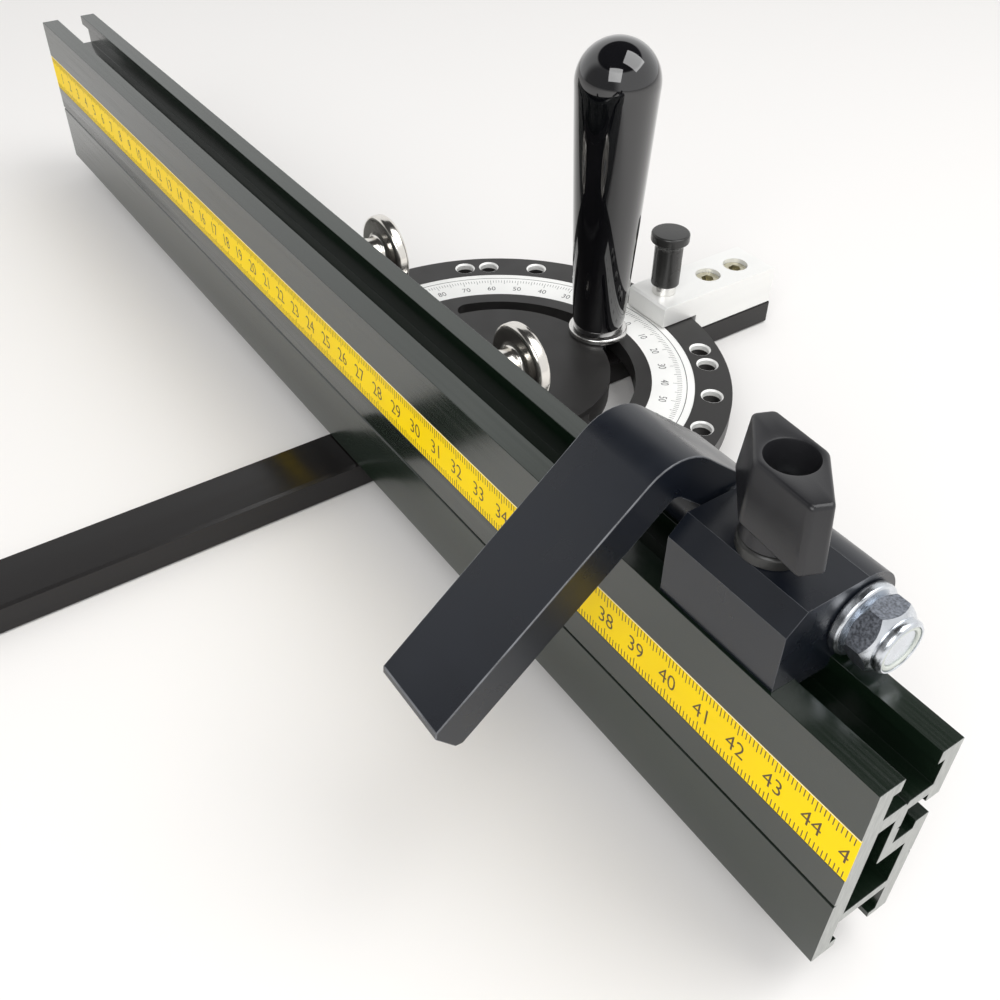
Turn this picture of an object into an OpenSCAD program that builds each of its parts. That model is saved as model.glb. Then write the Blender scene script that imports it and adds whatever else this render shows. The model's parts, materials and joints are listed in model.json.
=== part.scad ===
// Miter gauge for a table saw: a slotted aluminium fence with a flip stop, carried by a
// protractor head that turns on a flat guide bar and locks with a spring index pin and a handle.
//
// Frame: the origin is on the head's pivot axis, on the surface that the bar lies on.
// +X runs along the fence towards the flip stop, +Y along the bar to the rear, +Z up.

/* [Guide bar] */
// Width of the bar, for a three-quarter-inch miter slot
bar_w = 19; // [16:0.5:22]
// Thickness of the bar
bar_t = 9.5; // [8:0.5:12]
// Length of the bar behind the index block
bar_tail = 0.5; // [0:0.5:40]
// Length of the bar in front of the pivot
bar_front = 336; // [200:1:400]
// Chamfer along the bar's long edges
bar_chamfer = 0.8; // [0.4:0.1:1.2]

/* [Protractor head] */
// Radius of the raised hub inside the arc slot
hub_r = 35.3; // [32:0.1:42]
// Thickness of the head's plate
plate_t = 6; // [5.5:0.5:7]
// Height of the raised hub above the plate
hub_rise = 2; // [1:0.5:3]
// Width of the arc slot
slot_w = 8.4; // [8.3:0.1:9]
// Angle from straight ahead to the last index stop
stop_max = 67.5; // [60:0.5:70]
// Width of the land between the arc slot and the scale ring
slot_land = 5.3; // [4:0.1:7]
// Width of the scale ring
scale_w = 14; // [10:0.5:18]
// Thickness of the scale ring
scale_t = 1; // [0.6:0.1:1.5]
// Distance from the scale ring to the index holes' centres
index_land = 5.5; // [4.5:0.1:7]
// Distance from the index holes' centres to the head's rim
rim_land = 6.5; // [5:0.1:8]
// Diameter of the index holes
index_d = 6.4; // [5.4:0.2:7]
// Width of the chamfer round each index hole
index_chamfer = 0.5; // [0.2:0.1:0.8]
// Distance from the pivot to the fence's back face
fence_back = 38.4; // [36:0.1:42]
// Width of the flange behind the fence
flange_w = 110; // [100:1:124]
// Thickness of the flange
flange_t = 6.5; // [5:0.5:8]
// Distance from the fence bolts up to the flange's top edge
flange_rise = 8.1; // [6.5:0.1:10]
// Distance between the two fence bolts
bolt_spacing = 76; // [60:1:84]

/* [Fence] */
// Length of the fence
fence_len = 450; // [350:10:600]
// Distance from the fence's left end to the pivot
fence_left = 253.6; // [150:0.1:300]
// Thickness of the fence
fence_t = 21.6; // [21.2:0.2:23]
// Height of the fence
fence_h = 57.5; // [57:0.5:60]
// Clearance between the fence's lower edge and the bar's upper face
fence_lift = 0.5; // [0.3:0.1:1.5]
// Width of the mouth of the top and bottom slots
wide_mouth = 9.5; // [9:0.1:10]
// Width inside the top and bottom slots
wide_inner = 13.3; // [13.2:0.1:14]
// Height of the mouth of the rear slot
rear_mouth = 6.5; // [6.3:0.1:7]
// Height inside the rear slot
rear_inner = 11.2; // [10.6:0.1:11.6]
// Distance of the rear slot's centre below the fence's top edge
rear_drop = 19.6; // [19.2:0.1:20.5]
// Distance from the fence's front face to the floor of the rear slot
rear_floor = 12.25; // [11.8:0.05:12.6]
// Distance from the fence's front face to the centre of the top and bottom slots
slot_y = 11.2; // [10.8:0.1:11.4]
// Width of the measuring tape
tape_w = 13.2; // [10:0.1:14]
// Thickness of the measuring tape
tape_t = 0.25; // [0.15:0.05:0.4]
// Distance of the tape's lower edge below the fence's top edge
tape_drop = 26.7; // [20:0.1:28]

/* [Handle] */
// Length of the grip
grip_len = 96; // [70:1:120]
// Radius of the grip at its foot
grip_foot_r = 8.55; // [7.5:0.05:10]
// Radius of the grip's domed end
grip_dome_r = 12.95; // [11:0.05:15]
// Radius of the washer below the grip
handle_washer_r = 10; // [9:0.5:11]
// Thickness of the washer below the grip
handle_washer_t = 2; // [1:0.1:3]

/* [Index block] */
// Length of the block's foot, behind the head
block_foot_len = 37; // [32:0.5:45]
// Height of the block above the bar
block_h = 14; // [13:0.5:16]
// Distance that the block reaches past the index pin's axis
block_nose = 7.5; // [6:0.1:9]
// Distance from the foot's front face to the first screw
block_screw_inset = 12.9; // [10:0.1:14]
// Distance between the two screws of the block
block_screw_gap = 13.3; // [12:0.1:15]
// Distance that the index pin travels
pin_travel = 3.2; // [2.5:0.1:4.6]
// Height of the pin's knob, as parked
pin_knob_h = 19.4; // [17:0.1:21]
// Radius of the pin's knob at its head
pin_knob_r = 6.6; // [6.2:0.1:8]

/* [Fence knobs] */
// Radius of each knob's disc
knob_r = 12; // [10:0.5:13]
// Thickness of each knob's disc
knob_disc_t = 4.5; // [3:0.5:6]
// Length of each knob's neck
knob_neck = 9.2; // [6:0.1:12]

/* [Flip stop] */
// Distance from the fence's right end to the stop block's middle
stop_inset = 41; // [36:0.5:60]
// Length of the stop block
stop_len = 30.6; // [30:0.2:40]
// Height of the stop block
stop_h = 18.5; // [18.4:0.1:20]
// Height of the arm's bolt above the fence
arm_axis_z = 8.9; // [8.7:0.1:9.1]
// Radius of the stop block's rounded back
stop_back_r = 9.6; // [9.4:0.1:9.8]
// Width of the flip arm
arm_w = 19.5; // [18:0.1:24]
// Thickness of the flip arm
arm_t = 9; // [7:0.1:9.4]
// Radius of the arm's knuckle
arm_knuckle_r = 8.3; // [8.25:0.05:8.6]
// Distance from the bolt to the arm's outer corner, along its upper leg
arm_reach = 30.4; // [28:0.1:36]
// Length of the arm's long leg, from its outer corner
arm_drop = 69.8; // [40:0.1:70.5]
// Outer radius of the arm's bend
arm_bend_r = 11; // [10.5:0.5:14]
// Angle between the arm's two legs
arm_corner = 100.5; // [96:0.5:106]
// Angle of the long leg below the horizontal, as the arm is parked
arm_tilt = 39.7; // [30:0.1:60]
// Length of the wing knob across its tips, at its top
wing_len = 26; // [24:0.5:27]
// Width of the wing knob at its top
wing_w = 13.8; // [13:0.1:16]
// Height of the wing knob's body
wing_h = 14; // [12:0.5:18]

/* [Hidden] */
$fn = 72;

// Clearances
slide_gap = 0.05;
pin_clearance = 0.05;
bolt_clearance = 0.2;
slot_gap = 0.1;
eps = 0.01;

// Heights and distances that follow
slot_r = hub_r + slot_w / 2;
scale_in_r = hub_r + slot_w + slot_land;
scale_out_r = scale_in_r + scale_w;
index_r = scale_out_r + index_land;
rim_r = index_r + rim_land;
plate_z = bar_t + slide_gap;
plate_top = bar_t + plate_t;
hub_top = plate_top + hub_rise;
fence_z = bar_t + fence_lift;
fence_y = -fence_back - fence_t;
fence_top = fence_z + fence_h;
slot_half = slot_w / 2;
slot_spare_angle = 5.5;
slot_end = stop_max + slot_spare_angle;
rear_z = fence_h - rear_drop;
flange_h = rear_z + flange_rise;
tape_z = fence_h - tape_drop;
stop_x = fence_len - fence_left - stop_inset;
recess_depth = scale_t + 0.2;
scale_half_angle = 87.9;
index_stops = [0, 22.5, 30, 45, 60, stop_max];
index_signs = [1, -1];

// Pivot screw: a shoulder screw whose head sits in the hub
pivot_shank_r = 5;
pivot_thread_r = 3;
pivot_head_r = 8;
pivot_head_h = 2;
pivot_washer_t = 0.8;
pivot_seat = hub_top - pivot_head_h - pivot_washer_t - 2 * slide_gap;

// Handle
stud_r = 4;
stud_z = 1.5;
stud_in_grip = 26;
handle_z = hub_top + slide_gap;
grip_z = handle_z + handle_washer_t;
grip_power = 0.9;
grip_steps = 14;
grip_edge = 0.8;

// Index block and plunger
block_top = bar_t + block_h;
block_lift = 0.4;
block_gap = 1.5;
block_foot = rim_r + block_gap;
block_front = index_r - block_nose;
block_rear = block_foot + block_foot_len;
bar_rear = block_rear + bar_tail;
block_screw_r = 2.5;
block_screw_head_r = 4.25;
block_screw_head_h = 5;
block_screw_y = block_foot + block_screw_inset;
block_screw_sink = 1.5;
block_edge = 0.8;
sleeve_r = 4.1;
sleeve_bore = index_d / 2;
sleeve_stand = 5.3;
sleeve_top = block_top + pin_travel + sleeve_stand;
sleeve_cap = 3;
rod_r = 1.8;
pin_r = index_d / 2 - 0.1;
pin_tip = plate_top + block_lift;
pin_shoulder = pin_tip + 6.1;
pin_point = 0.6;
knob_z = block_top + pin_travel + 0.3;
pin_knob_bore_h = pin_travel + 5.8;
pin_skirt_r = 4.9;
pin_head_t = 2.6;
pin_rod_top = knob_z + pin_knob_bore_h + 4;
spring_wire_r = 0.35;
spring_r = (sleeve_bore + rod_r) / 2;
spring_turns = 5;
spring_steps = 16;
spring_sides = 8;

// Fence profile, measured from its front lower corner
wall_front = slot_y - wide_inner / 2;
wide_lip = 3.5;
wide_depth = 11;
web = 3.4;
rear_lip = 3.75;
rear_depth = fence_t - rear_floor;
web_wall = 2.75;
cavity_y = wall_front + 0.4;
cavity_back = fence_t - 4.1;
cavity_low = 14;
cavity_shelf = rear_z - rear_inner / 2 - 4.6;
cavity_top = fence_h - wide_depth - 4.3;
bottom_depth = 11.2;
bottom_lip = 2.6;
back_relief = 1;
groove_w = 0.9;
groove_depth = 0.8;
groove_below_tape = 9.3;
groove_z = tape_z - groove_below_tape;
recess_margin = 0.05;

// Bolts in the rear slot
bolt_r = 3;
bolt_af = 10;
bolt_head_t = 4;
bolt_z = fence_z + rear_z;
bolt_head_y = -fence_back - rear_lip - slot_gap;
flange_y = -fence_back + slot_gap;
flange_back = flange_y + flange_t;
flange_corner = 6;
flange_fillet = 5;
knob_y = flange_back + slide_gap;
knob_neck_r = 6;
knob_edge = 0.8;
bolt_tip = knob_y + knob_neck + knob_disc_t - 1.2;

// Flip stop
stop_gap = 0.05;
stop_z = fence_top + stop_gap;
stop_left = stop_x - stop_len / 2;
stop_right = stop_x + stop_len / 2;
stop_bolt_y = fence_y + slot_y;
stop_front = fence_y + 0.7;
stop_top = stop_z + stop_h;
stop_chamfer = 4.2;
key_w = wide_mouth - 0.2;
key_h = 2.6;
stop_bolt_r = 4;
stop_bolt_af = 13;
stop_bolt_head_t = 5.3;
stop_bolt_head_z = fence_top - wide_lip - slot_gap - stop_bolt_head_t;
axis_inset = 1.4;
axis_y = -fence_back - axis_inset;
axis_z = fence_top + arm_axis_z;
arm_bolt_r = 4;
arm_bolt_head_r = 6.5;
arm_bolt_head_h = 8;
washer_t = 2.3;
washer_r = 8;
spacer_t = 0.8;
arm_right = stop_left - spacer_t - slide_gap;
arm_left = arm_right - arm_w;
nut_x = stop_right + washer_t;
nut_af = 13;
nut_hex_h = 6;
nut_h = 8;
nut_collar_r = 5.9;
nut_turn = 27.5;
insert_r = 5;
arm_tip_r = 1.2;
collar_r = 6.6;
collar_h = 2.8;
wing_z = stop_top + collar_h + slide_gap;
wing_neck_h = 4.1;
wing_neck_r = 6.3;
wing_tip_w = 4.3;
wing_flare = 1.15;
wing_hole_r = 4.9;
wing_insert_r = 5.2;
wing_insert_h = 8;
stop_bolt_top = wing_z + wing_insert_h + 2;

// Colours of the finishes
black = [0.06, 0.06, 0.065];
satin_black = [0.16, 0.155, 0.15];
green = [0.10, 0.14, 0.11];
raw = [0.80, 0.80, 0.79];
steel = [0.72, 0.73, 0.74];
yellow = [1.0, 0.83, 0.0];
brass = [0.78, 0.62, 0.30];

// A cylinder along +X from x to x + h
module rod_x(x, h, r) {
    translate([x, 0, 0])
        rotate([0, 90, 0])
            cylinder(r = r, h = h);
}

// A cylinder along +Y from y to y + h
module rod_y(y, h, r) {
    translate([0, y, 0])
        rotate([-90, 0, 0])
            cylinder(r = r, h = h);
}

// A hexagonal prism with flats af apart and two flats facing up and down the second axis
module hex(af, h) {
    rotate([0, 0, 30])
        cylinder(r = af / 2 / cos(30), h = h, $fn = 6);
}

// A profile drawn in (y, z), swept along +X from x to x + h
module sweep_x(x, h) {
    translate([x, 0, 0])
        rotate([90, 0, 90])
            linear_extrude(height = h)
                children();
}

// A socket head screw pointing down, its head's top face at z = 0
module socket_screw(r, head_r, head_h, length) {
    difference() {
        union() {
            translate([0, 0, -head_h + 0.4])
                cylinder(r = head_r, h = head_h - 0.4);
            translate([0, 0, -0.4 - eps])
                cylinder(r1 = head_r, r2 = head_r - 0.4, h = 0.4 + eps);
            translate([0, 0, -head_h - length])
                cylinder(r = r, h = length + 1);
        }
        translate([0, 0, -head_h * 0.6])
            hex(r * 1.6, head_h);
    }
}

// A 2D wedge from the centre, between two angles measured from +Y
module wedge(a1, a2, r) {
    steps = 8;
    points = [for (i = [0:steps]) let (a = a1 + (a2 - a1) * i / steps) [r * sin(a), r * cos(a)]];
    polygon(concat([[0, 0]], points));
}

// A flat bar with chamfered long edges, drilled for the pivot, the handle and the block
module miter_bar() {
    half = bar_w / 2;
    c = bar_chamfer;
    color(black)
        difference() {
            translate([0, bar_rear, 0])
                rotate([90, 0, 0])
                    linear_extrude(height = bar_rear + bar_front)
                        polygon([[-half + c, 0], [half - c, 0], [half, c], [half, bar_t - c],
                            [half - c, bar_t], [-half + c, bar_t], [-half, bar_t - c], [-half, c]]);
            translate([0, 0, -1])
                cylinder(r = pivot_thread_r + pin_clearance, h = bar_t + 2);
            translate([0, slot_r, -1])
                cylinder(r = stud_r + pin_clearance, h = bar_t + 2);
            for (i = [0, 1])
                translate([0, block_screw_y + i * block_screw_gap, -1])
                    cylinder(r = block_screw_r + pin_clearance, h = bar_t + 2);
        }
}

module pivot_screw() {
    color(steel)
        difference() {
            union() {
                translate([0, 0, hub_top - pivot_head_h])
                    cylinder(r = pivot_head_r, h = pivot_head_h);
                translate([0, 0, bar_t])
                    cylinder(r = pivot_shank_r, h = hub_top - bar_t - 1);
                translate([0, 0, 1])
                    cylinder(r = pivot_thread_r, h = bar_t);
            }
            translate([0, 0, hub_top - 3])
                hex(5, 4);
        }
}

module pivot_washer() {
    color(steel)
        translate([0, 0, hub_top - pivot_head_h - pivot_washer_t])
            difference() {
                cylinder(r = pivot_head_r - 0.2, h = pivot_washer_t);
                translate([0, 0, -1])
                    cylinder(r = pivot_shank_r + pin_clearance, h = 3);
            }
}

// The block lies on the bar and reaches over the rim, where it carries the plunger
module index_block() {
    half = bar_w / 2;
    rear = block_rear;
    color(raw)
        difference() {
            sweep_x(-half, bar_w)
                polygon([[block_front, bar_t + plate_t + block_lift],
                    [block_foot, bar_t + plate_t + block_lift], [block_foot, bar_t], [rear, bar_t],
                    [rear, block_top - block_edge], [rear - block_edge, block_top],
                    [block_front + block_edge, block_top], [block_front, block_top - block_edge]]);
            translate([0, index_r, bar_t])
                cylinder(r = sleeve_r, h = block_h + 1);
            for (i = [0, 1])
                translate([0, block_screw_y + i * block_screw_gap, 0]) {
                    translate([0, 0, bar_t - 1])
                        cylinder(r = block_screw_r + pin_clearance, h = block_h + 2);
                    translate([0, 0, block_top - block_screw_sink - block_screw_head_h])
                        cylinder(r = block_screw_head_r + 0.25, h = block_screw_head_h + 4);
                }
        }
}

module index_block_screws() {
    color(steel)
        for (i = [0, 1])
            translate([0, block_screw_y + i * block_screw_gap, block_top - block_screw_sink])
                socket_screw(block_screw_r, block_screw_head_r, block_screw_head_h,
                    block_h + bar_t - block_screw_sink - block_screw_head_h - 1);
}

module plunger_sleeve() {
    z = plate_top + block_lift;
    color(steel)
        translate([0, index_r, 0])
            difference() {
                translate([0, 0, z])
                    cylinder(r = sleeve_r, h = sleeve_top - z);
                translate([0, 0, z - 1])
                    cylinder(r = sleeve_bore, h = sleeve_top - sleeve_cap - z + 1);
                translate([0, 0, z])
                    cylinder(r = rod_r + pin_clearance, h = sleeve_top - z + 1);
            }
}

// The pin's spring, a helix between the pin's shoulder and the sleeve's cap
module plunger_spring() {
    low = pin_shoulder + spring_wire_r + eps;
    high = sleeve_top - sleeve_cap - spring_wire_r - eps;
    count = spring_turns * spring_steps;
    rings = [for (i = [0:count]) let (a = 360 * i / spring_steps, z = low + (high - low) * i / count)
        for (j = [0:spring_sides - 1]) let (b = 360 * j / spring_sides,
            r = spring_r + spring_wire_r * cos(b))
            [r * cos(a), index_r + r * sin(a), z + spring_wire_r * sin(b)]];
    sides = [for (i = [0:count - 1]) for (j = [0:spring_sides - 1])
        let (k = (j + 1) % spring_sides, p = i * spring_sides, q = p + spring_sides)
            [p + j, q + j, q + k, p + k]];
    first = [for (j = [0:spring_sides - 1]) j];
    last = [for (j = [spring_sides - 1:-1:0]) count * spring_sides + j];
    color(steel)
        polyhedron(points = rings, faces = concat(sides, [first, last]));
}

module plunger_pin() {
    color(steel)
        translate([0, index_r, 0]) {
            translate([0, 0, pin_tip + pin_point])
                cylinder(r = pin_r, h = pin_shoulder - pin_tip - pin_point);
            translate([0, 0, pin_tip])
                cylinder(r1 = pin_r - pin_point, r2 = pin_r, h = pin_point);
            translate([0, 0, pin_shoulder - eps])
                cylinder(r = rod_r, h = pin_rod_top - pin_shoulder);
        }
}

// A skirt that slides over the sleeve, with a mushroom head
module plunger_knob() {
    head_z = pin_knob_h - pin_head_t;
    waist_z = head_z - (pin_knob_r - pin_skirt_r) * 1.3;
    color(black)
        translate([0, index_r, knob_z])
            rotate_extrude()
                polygon([[sleeve_r + bolt_clearance, 0], [pin_skirt_r - 0.3, 0], [pin_skirt_r, 0.3],
                    [pin_skirt_r, waist_z], [pin_skirt_r + 0.45, waist_z + 1.1],
                    [pin_knob_r, head_z + 0.3], [pin_knob_r, pin_knob_h - 0.7],
                    [pin_knob_r - 0.7, pin_knob_h], [0, pin_knob_h],
                    [0, pin_rod_top - knob_z], [rod_r, pin_rod_top - knob_z],
                    [rod_r, pin_knob_bore_h], [sleeve_r + bolt_clearance, pin_knob_bore_h]]);
}

// The grip swells from its foot by a power curve into a dome
module handle_grip() {
    flank = grip_len - grip_dome_r;
    curve = [for (i = [0:grip_steps]) let (t = i / grip_steps)
        [max(grip_foot_r + (grip_dome_r - grip_foot_r) * pow(t, grip_power), grip_foot_r),
            max(grip_edge, flank * t)]];
    dome = [for (a = [6:6:84]) [grip_dome_r * cos(a), flank + grip_dome_r * sin(a)]];
    color(black)
        translate([0, slot_r, grip_z])
            difference() {
                rotate_extrude()
                    polygon(concat([[0, 0], [grip_foot_r - grip_edge, 0]], curve, dome,
                        [[0, grip_len]]));
                translate([0, 0, -1])
                    cylinder(r = stud_r, h = stud_in_grip + 1);
            }
}

module handle_stud() {
    color(steel)
        translate([0, slot_r, stud_z])
            cylinder(r = stud_r, h = grip_z + stud_in_grip - stud_z);
}

module handle_washer() {
    edge = 0.7;
    color(steel)
        translate([0, slot_r, handle_z])
            difference() {
                union() {
                    cylinder(r = handle_washer_r, h = handle_washer_t - edge);
                    translate([0, 0, handle_washer_t - edge])
                        cylinder(r1 = handle_washer_r, r2 = handle_washer_r - edge, h = edge);
                }
                translate([0, 0, -1])
                    cylinder(r = stud_r + pin_clearance, h = handle_washer_t + 2);
            }
}

// The arc slot in plan, with round ends
module arc_slot() {
    difference() {
        intersection() {
            circle(r = slot_r + slot_half);
            wedge(-slot_end, slot_end, slot_r * 3);
        }
        circle(r = slot_r - slot_half);
    }
    for (s = index_signs)
        translate([s * slot_r * sin(slot_end), slot_r * cos(slot_end)])
            circle(r = slot_half);
}

// The head's plan: a round plate cut straight behind the fence
module head_plan(r) {
    intersection() {
        circle(r = r);
        translate([-rim_r - 5, flange_y])
            square([2 * rim_r + 10, 2 * rim_r]);
    }
}

module head_flange() {
    half = flange_w / 2;
    top = fence_z + flange_h;
    corner = flange_corner;
    rotate([90, 0, 0])
        translate([0, 0, -flange_back])
            linear_extrude(height = flange_t)
                union() {
                    translate([-half, plate_z])
                        square([flange_w, top - corner - plate_z]);
                    translate([-half + corner, plate_z])
                        square([flange_w - 2 * corner, top - plate_z]);
                    for (s = index_signs)
                        translate([s * (half - corner), top - corner])
                            circle(r = corner);
                }
}

module protractor_head() {
    f = flange_fillet;
    color(satin_black)
        difference() {
            union() {
                translate([0, 0, plate_z])
                    linear_extrude(height = plate_top - plate_z)
                        head_plan(rim_r);
                translate([0, 0, plate_z])
                    linear_extrude(height = hub_top - plate_z)
                        union() {
                            head_plan(hub_r);
                            translate([-hub_r, flange_y])
                                square([2 * hub_r, -flange_y]);
                        }
                head_flange();
                sweep_x(-hub_r, 2 * hub_r)
                    difference() {
                        translate([flange_back - eps, hub_top - eps])
                            square(f);
                        translate([flange_back + f, hub_top + f])
                            circle(r = f);
                    }
            }
            translate([0, 0, bar_t - 1])
                linear_extrude(height = plate_t + hub_rise + 2)
                    arc_slot();
            translate([0, 0, plate_top - recess_depth])
                linear_extrude(height = recess_depth + 1)
                    scale_plan(0);
            translate([0, 0, bar_t - 1])
                cylinder(r = pivot_shank_r + pin_clearance, h = plate_t + hub_rise + 2);
            translate([0, 0, pivot_seat])
                cylinder(r = pivot_head_r + 0.3, h = 10);
            for (s = index_signs, a = index_stops)
                rotate([0, 0, s * a])
                    translate([0, index_r, bar_t - 1]) {
                        cylinder(r = index_d / 2, h = plate_t + 2);
                        translate([0, 0, plate_t + 1 - index_chamfer])
                            cylinder(r1 = index_d / 2, r2 = index_d / 2 + 2 * index_chamfer,
                                h = 2 * index_chamfer);
                    }
            for (s = index_signs)
                translate([s * bolt_spacing / 2, 0, bolt_z])
                    rod_y(flange_y - 1, flange_t + 2, bolt_r + bolt_clearance);
        }
}

// The scale ring's plan, drawn narrower by a gap on both sides
module scale_plan(gap) {
    difference() {
        intersection() {
            circle(r = scale_out_r - gap);
            wedge(-scale_half_angle, scale_half_angle, rim_r * 3);
        }
        circle(r = scale_in_r + gap);
    }
}

module scale_ring() {
    color(raw)
        translate([0, 0, plate_top - recess_depth])
            linear_extrude(height = scale_t)
                scale_plan(recess_margin);
}

// A hexagon-headed bolt whose head slides in the rear slot
module fence_bolt(x) {
    color(steel)
        translate([x, 0, bolt_z]) {
            translate([0, bolt_head_y, 0])
                rotate([90, 0, 0])
                    rotate([0, 0, 30])
                        hex(bolt_af, bolt_head_t);
            rod_y(bolt_head_y - 1, bolt_tip - bolt_head_y + 1, bolt_r);
        }
}

module fence_bolt_left() {
    fence_bolt(-bolt_spacing / 2);
}

module fence_bolt_right() {
    fence_bolt(bolt_spacing / 2);
}

// A disc-headed nut: a slim neck against the flange and a wide thin disc
module fence_knob(x) {
    disc = knob_neck;
    total = knob_neck + knob_disc_t;
    color(steel)
        translate([x, knob_y, bolt_z])
            rotate([-90, 0, 0])
                rotate_extrude()
                    polygon([[bolt_r + pin_clearance, 0], [knob_neck_r - 0.5, 0],
                        [knob_neck_r, 0.5], [knob_neck_r, disc - 1], [knob_neck_r + 1, disc],
                        [knob_r - knob_edge, disc], [knob_r, disc + knob_edge],
                        [knob_r, total - knob_edge], [knob_r - knob_edge, total],
                        [bolt_r + 1, total], [bolt_r + pin_clearance, total - 1]]);
}

module fence_knob_left() {
    fence_knob(-bolt_spacing / 2);
}

module fence_knob_right() {
    fence_knob(bolt_spacing / 2);
}

// A slot with a narrow mouth at y = 0 and a wide room behind its lips, opening towards -y
module t_slot(mouth, inner, lip, depth) {
    translate([-mouth / 2, -1])
        square([mouth, lip + 2]);
    translate([-inner / 2, lip])
        square([inner, depth - lip]);
}

// A V-shaped notch in a face along the second axis, cut towards +x and -x alike
module guide_groove() {
    w = groove_w / 2;
    polygon([[-groove_depth, 0], [0, -w], [groove_depth, 0], [0, w]]);
}

module fence_profile() {
    difference() {
        square([fence_t, fence_h]);
        translate([slot_y, fence_h])
            rotate(180)
                t_slot(wide_mouth, wide_inner, wide_lip, wide_depth);
        translate([slot_y, fence_h - wide_depth])
            rotate(90)
                guide_groove();
        translate([fence_t, rear_z])
            rotate(90)
                t_slot(rear_mouth, rear_inner, rear_lip, rear_depth);
        translate([fence_t - rear_depth, rear_z])
            guide_groove();
        translate([slot_y, 0])
            t_slot(wide_mouth, wide_inner, bottom_lip, bottom_depth);
        translate([slot_y, -1])
            square([fence_t, back_relief + 1]);
        translate([cavity_y, cavity_low])
            square([cavity_back - cavity_y, cavity_shelf - cavity_low]);
        translate([cavity_y, cavity_low])
            square([fence_t - rear_depth - web_wall - cavity_y, cavity_top - cavity_low]);
        translate([0, groove_z])
            guide_groove();
        translate([fence_t, groove_z])
            guide_groove();
        translate([-1, tape_z - recess_margin])
            square([1 + tape_t + recess_margin, tape_w + 2 * recess_margin]);
    }
}

module fence() {
    color(green)
        translate([0, fence_y, fence_z])
            sweep_x(-fence_left, fence_len)
                fence_profile();
}

module tape_scale() {
    color(yellow)
        translate([0, fence_y, fence_z])
            sweep_x(-fence_left, fence_len)
                translate([recess_margin, tape_z])
                    square([tape_t, tape_w]);
}

// The block stands on the fence, keyed into the top slot, with the arm's barrel at its back
module stop_block() {
    c = stop_chamfer;
    color(black)
        difference() {
            union() {
                sweep_x(stop_left, stop_len)
                    union() {
                        polygon([[stop_front, stop_z], [axis_y + stop_back_r, stop_z],
                            [axis_y + stop_back_r, axis_z], [axis_y, stop_top],
                            [stop_front + c, stop_top], [stop_front, stop_top - c]]);
                        translate([axis_y, axis_z])
                            intersection() {
                                circle(r = stop_back_r);
                                translate([-stop_back_r, -1])
                                    square([2 * stop_back_r, stop_back_r + 2]);
                            }
                    }
                sweep_x(stop_left, stop_len)
                    translate([stop_bolt_y - key_w / 2, stop_z - key_h])
                        square([key_w, key_h + eps]);
            }
            translate([stop_x, stop_bolt_y, stop_z - key_h - 1])
                cylinder(r = stop_bolt_r + bolt_clearance, h = stop_h + key_h + 2);
            translate([0, axis_y, axis_z])
                rod_x(stop_left - 1, stop_len + 2, arm_bolt_r + pin_clearance);
        }
}

// A hexagon-headed bolt that stands in the top slot and clamps the block
module stop_slot_bolt() {
    color(steel)
        translate([stop_x, stop_bolt_y, 0]) {
            translate([0, 0, stop_bolt_head_z])
                hex_across_y(stop_bolt_af, stop_bolt_head_t);
            translate([0, 0, stop_bolt_head_z + 1])
                cylinder(r = stop_bolt_r, h = stop_bolt_top - stop_bolt_head_z - 1);
        }
}

// A hexagonal prism whose flats face +Y and -Y
module hex_across_y(af, h) {
    cylinder(r = af / 2 / cos(30), h = h, $fn = 6);
}

module wing_knob_collar() {
    color(black)
        translate([stop_x, stop_bolt_y, stop_top])
            difference() {
                union() {
                    cylinder(r = collar_r, h = collar_h - 0.5);
                    translate([0, 0, collar_h - 0.5])
                        cylinder(r1 = collar_r, r2 = collar_r - 0.5, h = 0.5);
                }
                translate([0, 0, -1])
                    cylinder(r = stop_bolt_r + pin_clearance, h = collar_h + 2);
            }
}

// The arm's hinge bolt, its socket head sunk in the knuckle
module arm_bolt() {
    color(steel)
        translate([0, axis_y, axis_z])
            difference() {
                union() {
                    rod_x(arm_left + 0.5, arm_bolt_head_h, arm_bolt_head_r);
                    rod_x(arm_left + 1, nut_x + nut_h - 0.6 - arm_left - 1, arm_bolt_r);
                }
                translate([arm_left - 1, 0, 0])
                    rotate([0, 90, 0])
                        hex(6, 5);
            }
}

module washer_x(x, t, r) {
    color(steel)
        translate([0, axis_y, axis_z])
            difference() {
                rod_x(x, t, r);
                rod_x(x - 1, t + 2, arm_bolt_r + pin_clearance);
            }
}

module arm_spacer_washer() {
    washer_x(stop_left - spacer_t, spacer_t, washer_r + 0.5);
}

module arm_nut_washer() {
    washer_x(stop_right, washer_t, washer_r);
}

// A lock nut: a hexagon with chamfered corners and a round collar that holds the insert
module arm_lock_nut() {
    corner_r = nut_af / 2 / cos(30);
    low = nut_af / 2 - 0.2;
    high = corner_r + 0.3;
    rise = (high - low) * tan(30);
    color(steel)
        translate([nut_x, axis_y, axis_z])
            rotate([0, 90, 0])
                difference() {
                    union() {
                        intersection() {
                            rotate([0, 0, nut_turn])
                                cylinder(r = corner_r, h = nut_hex_h, $fn = 6);
                            rotate_extrude()
                                polygon([[0, 0], [low, 0], [high, rise], [high, nut_hex_h - rise],
                                    [low, nut_hex_h], [0, nut_hex_h]]);
                        }
                        rotate_extrude()
                            polygon([[0, 1], [nut_collar_r, 1], [nut_collar_r, nut_h - 0.4],
                                [nut_collar_r - 0.4, nut_h], [0, nut_h]]);
                    }
                    translate([0, 0, -1])
                        cylinder(r = arm_bolt_r + pin_clearance, h = nut_h + 2);
                    translate([0, 0, nut_hex_h - 0.2])
                        cylinder(r = insert_r, h = nut_h);
                }
}

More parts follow.
